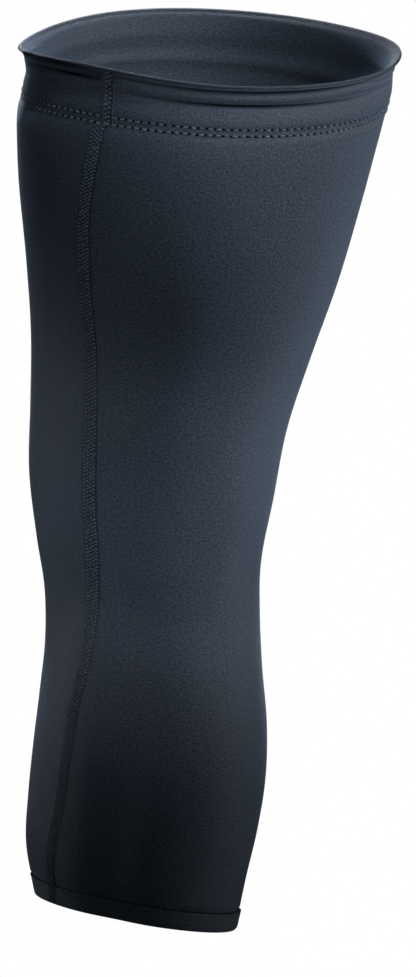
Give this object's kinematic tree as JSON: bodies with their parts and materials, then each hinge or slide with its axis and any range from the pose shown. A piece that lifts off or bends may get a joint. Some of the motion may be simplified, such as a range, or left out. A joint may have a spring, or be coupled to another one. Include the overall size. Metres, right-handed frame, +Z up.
{
  "type": "knee sleeve",
  "caption": "Long black compression knee sleeve as worn on a slightly bent leg: a seamed knitted tube from mid-thigh to calf with a doubled, creased cuff on top and a narrow turned hem below.",
  "frame": {"origin": "centre of the knee, inside the sleeve, where the leg would hold it", "axes": "+Z up along the leg from calf to thigh, +Y towards the kneecap, -Y the back of the knee, +X the inner side of a left leg"},
  "size_m": [0.1831, 0.2014, 0.4509],
  "materials": {
    "knit": "satin",
    "thread": "satin"
  },
  "bodies": {
    "root": {"knit_tube": "knit", "top_cuff": "knit", "bottom_hem": "knit", "tube_seam": "thread", "cuff_seam": "thread", "hem_seam": "thread"}
  },
  "joints": []
}
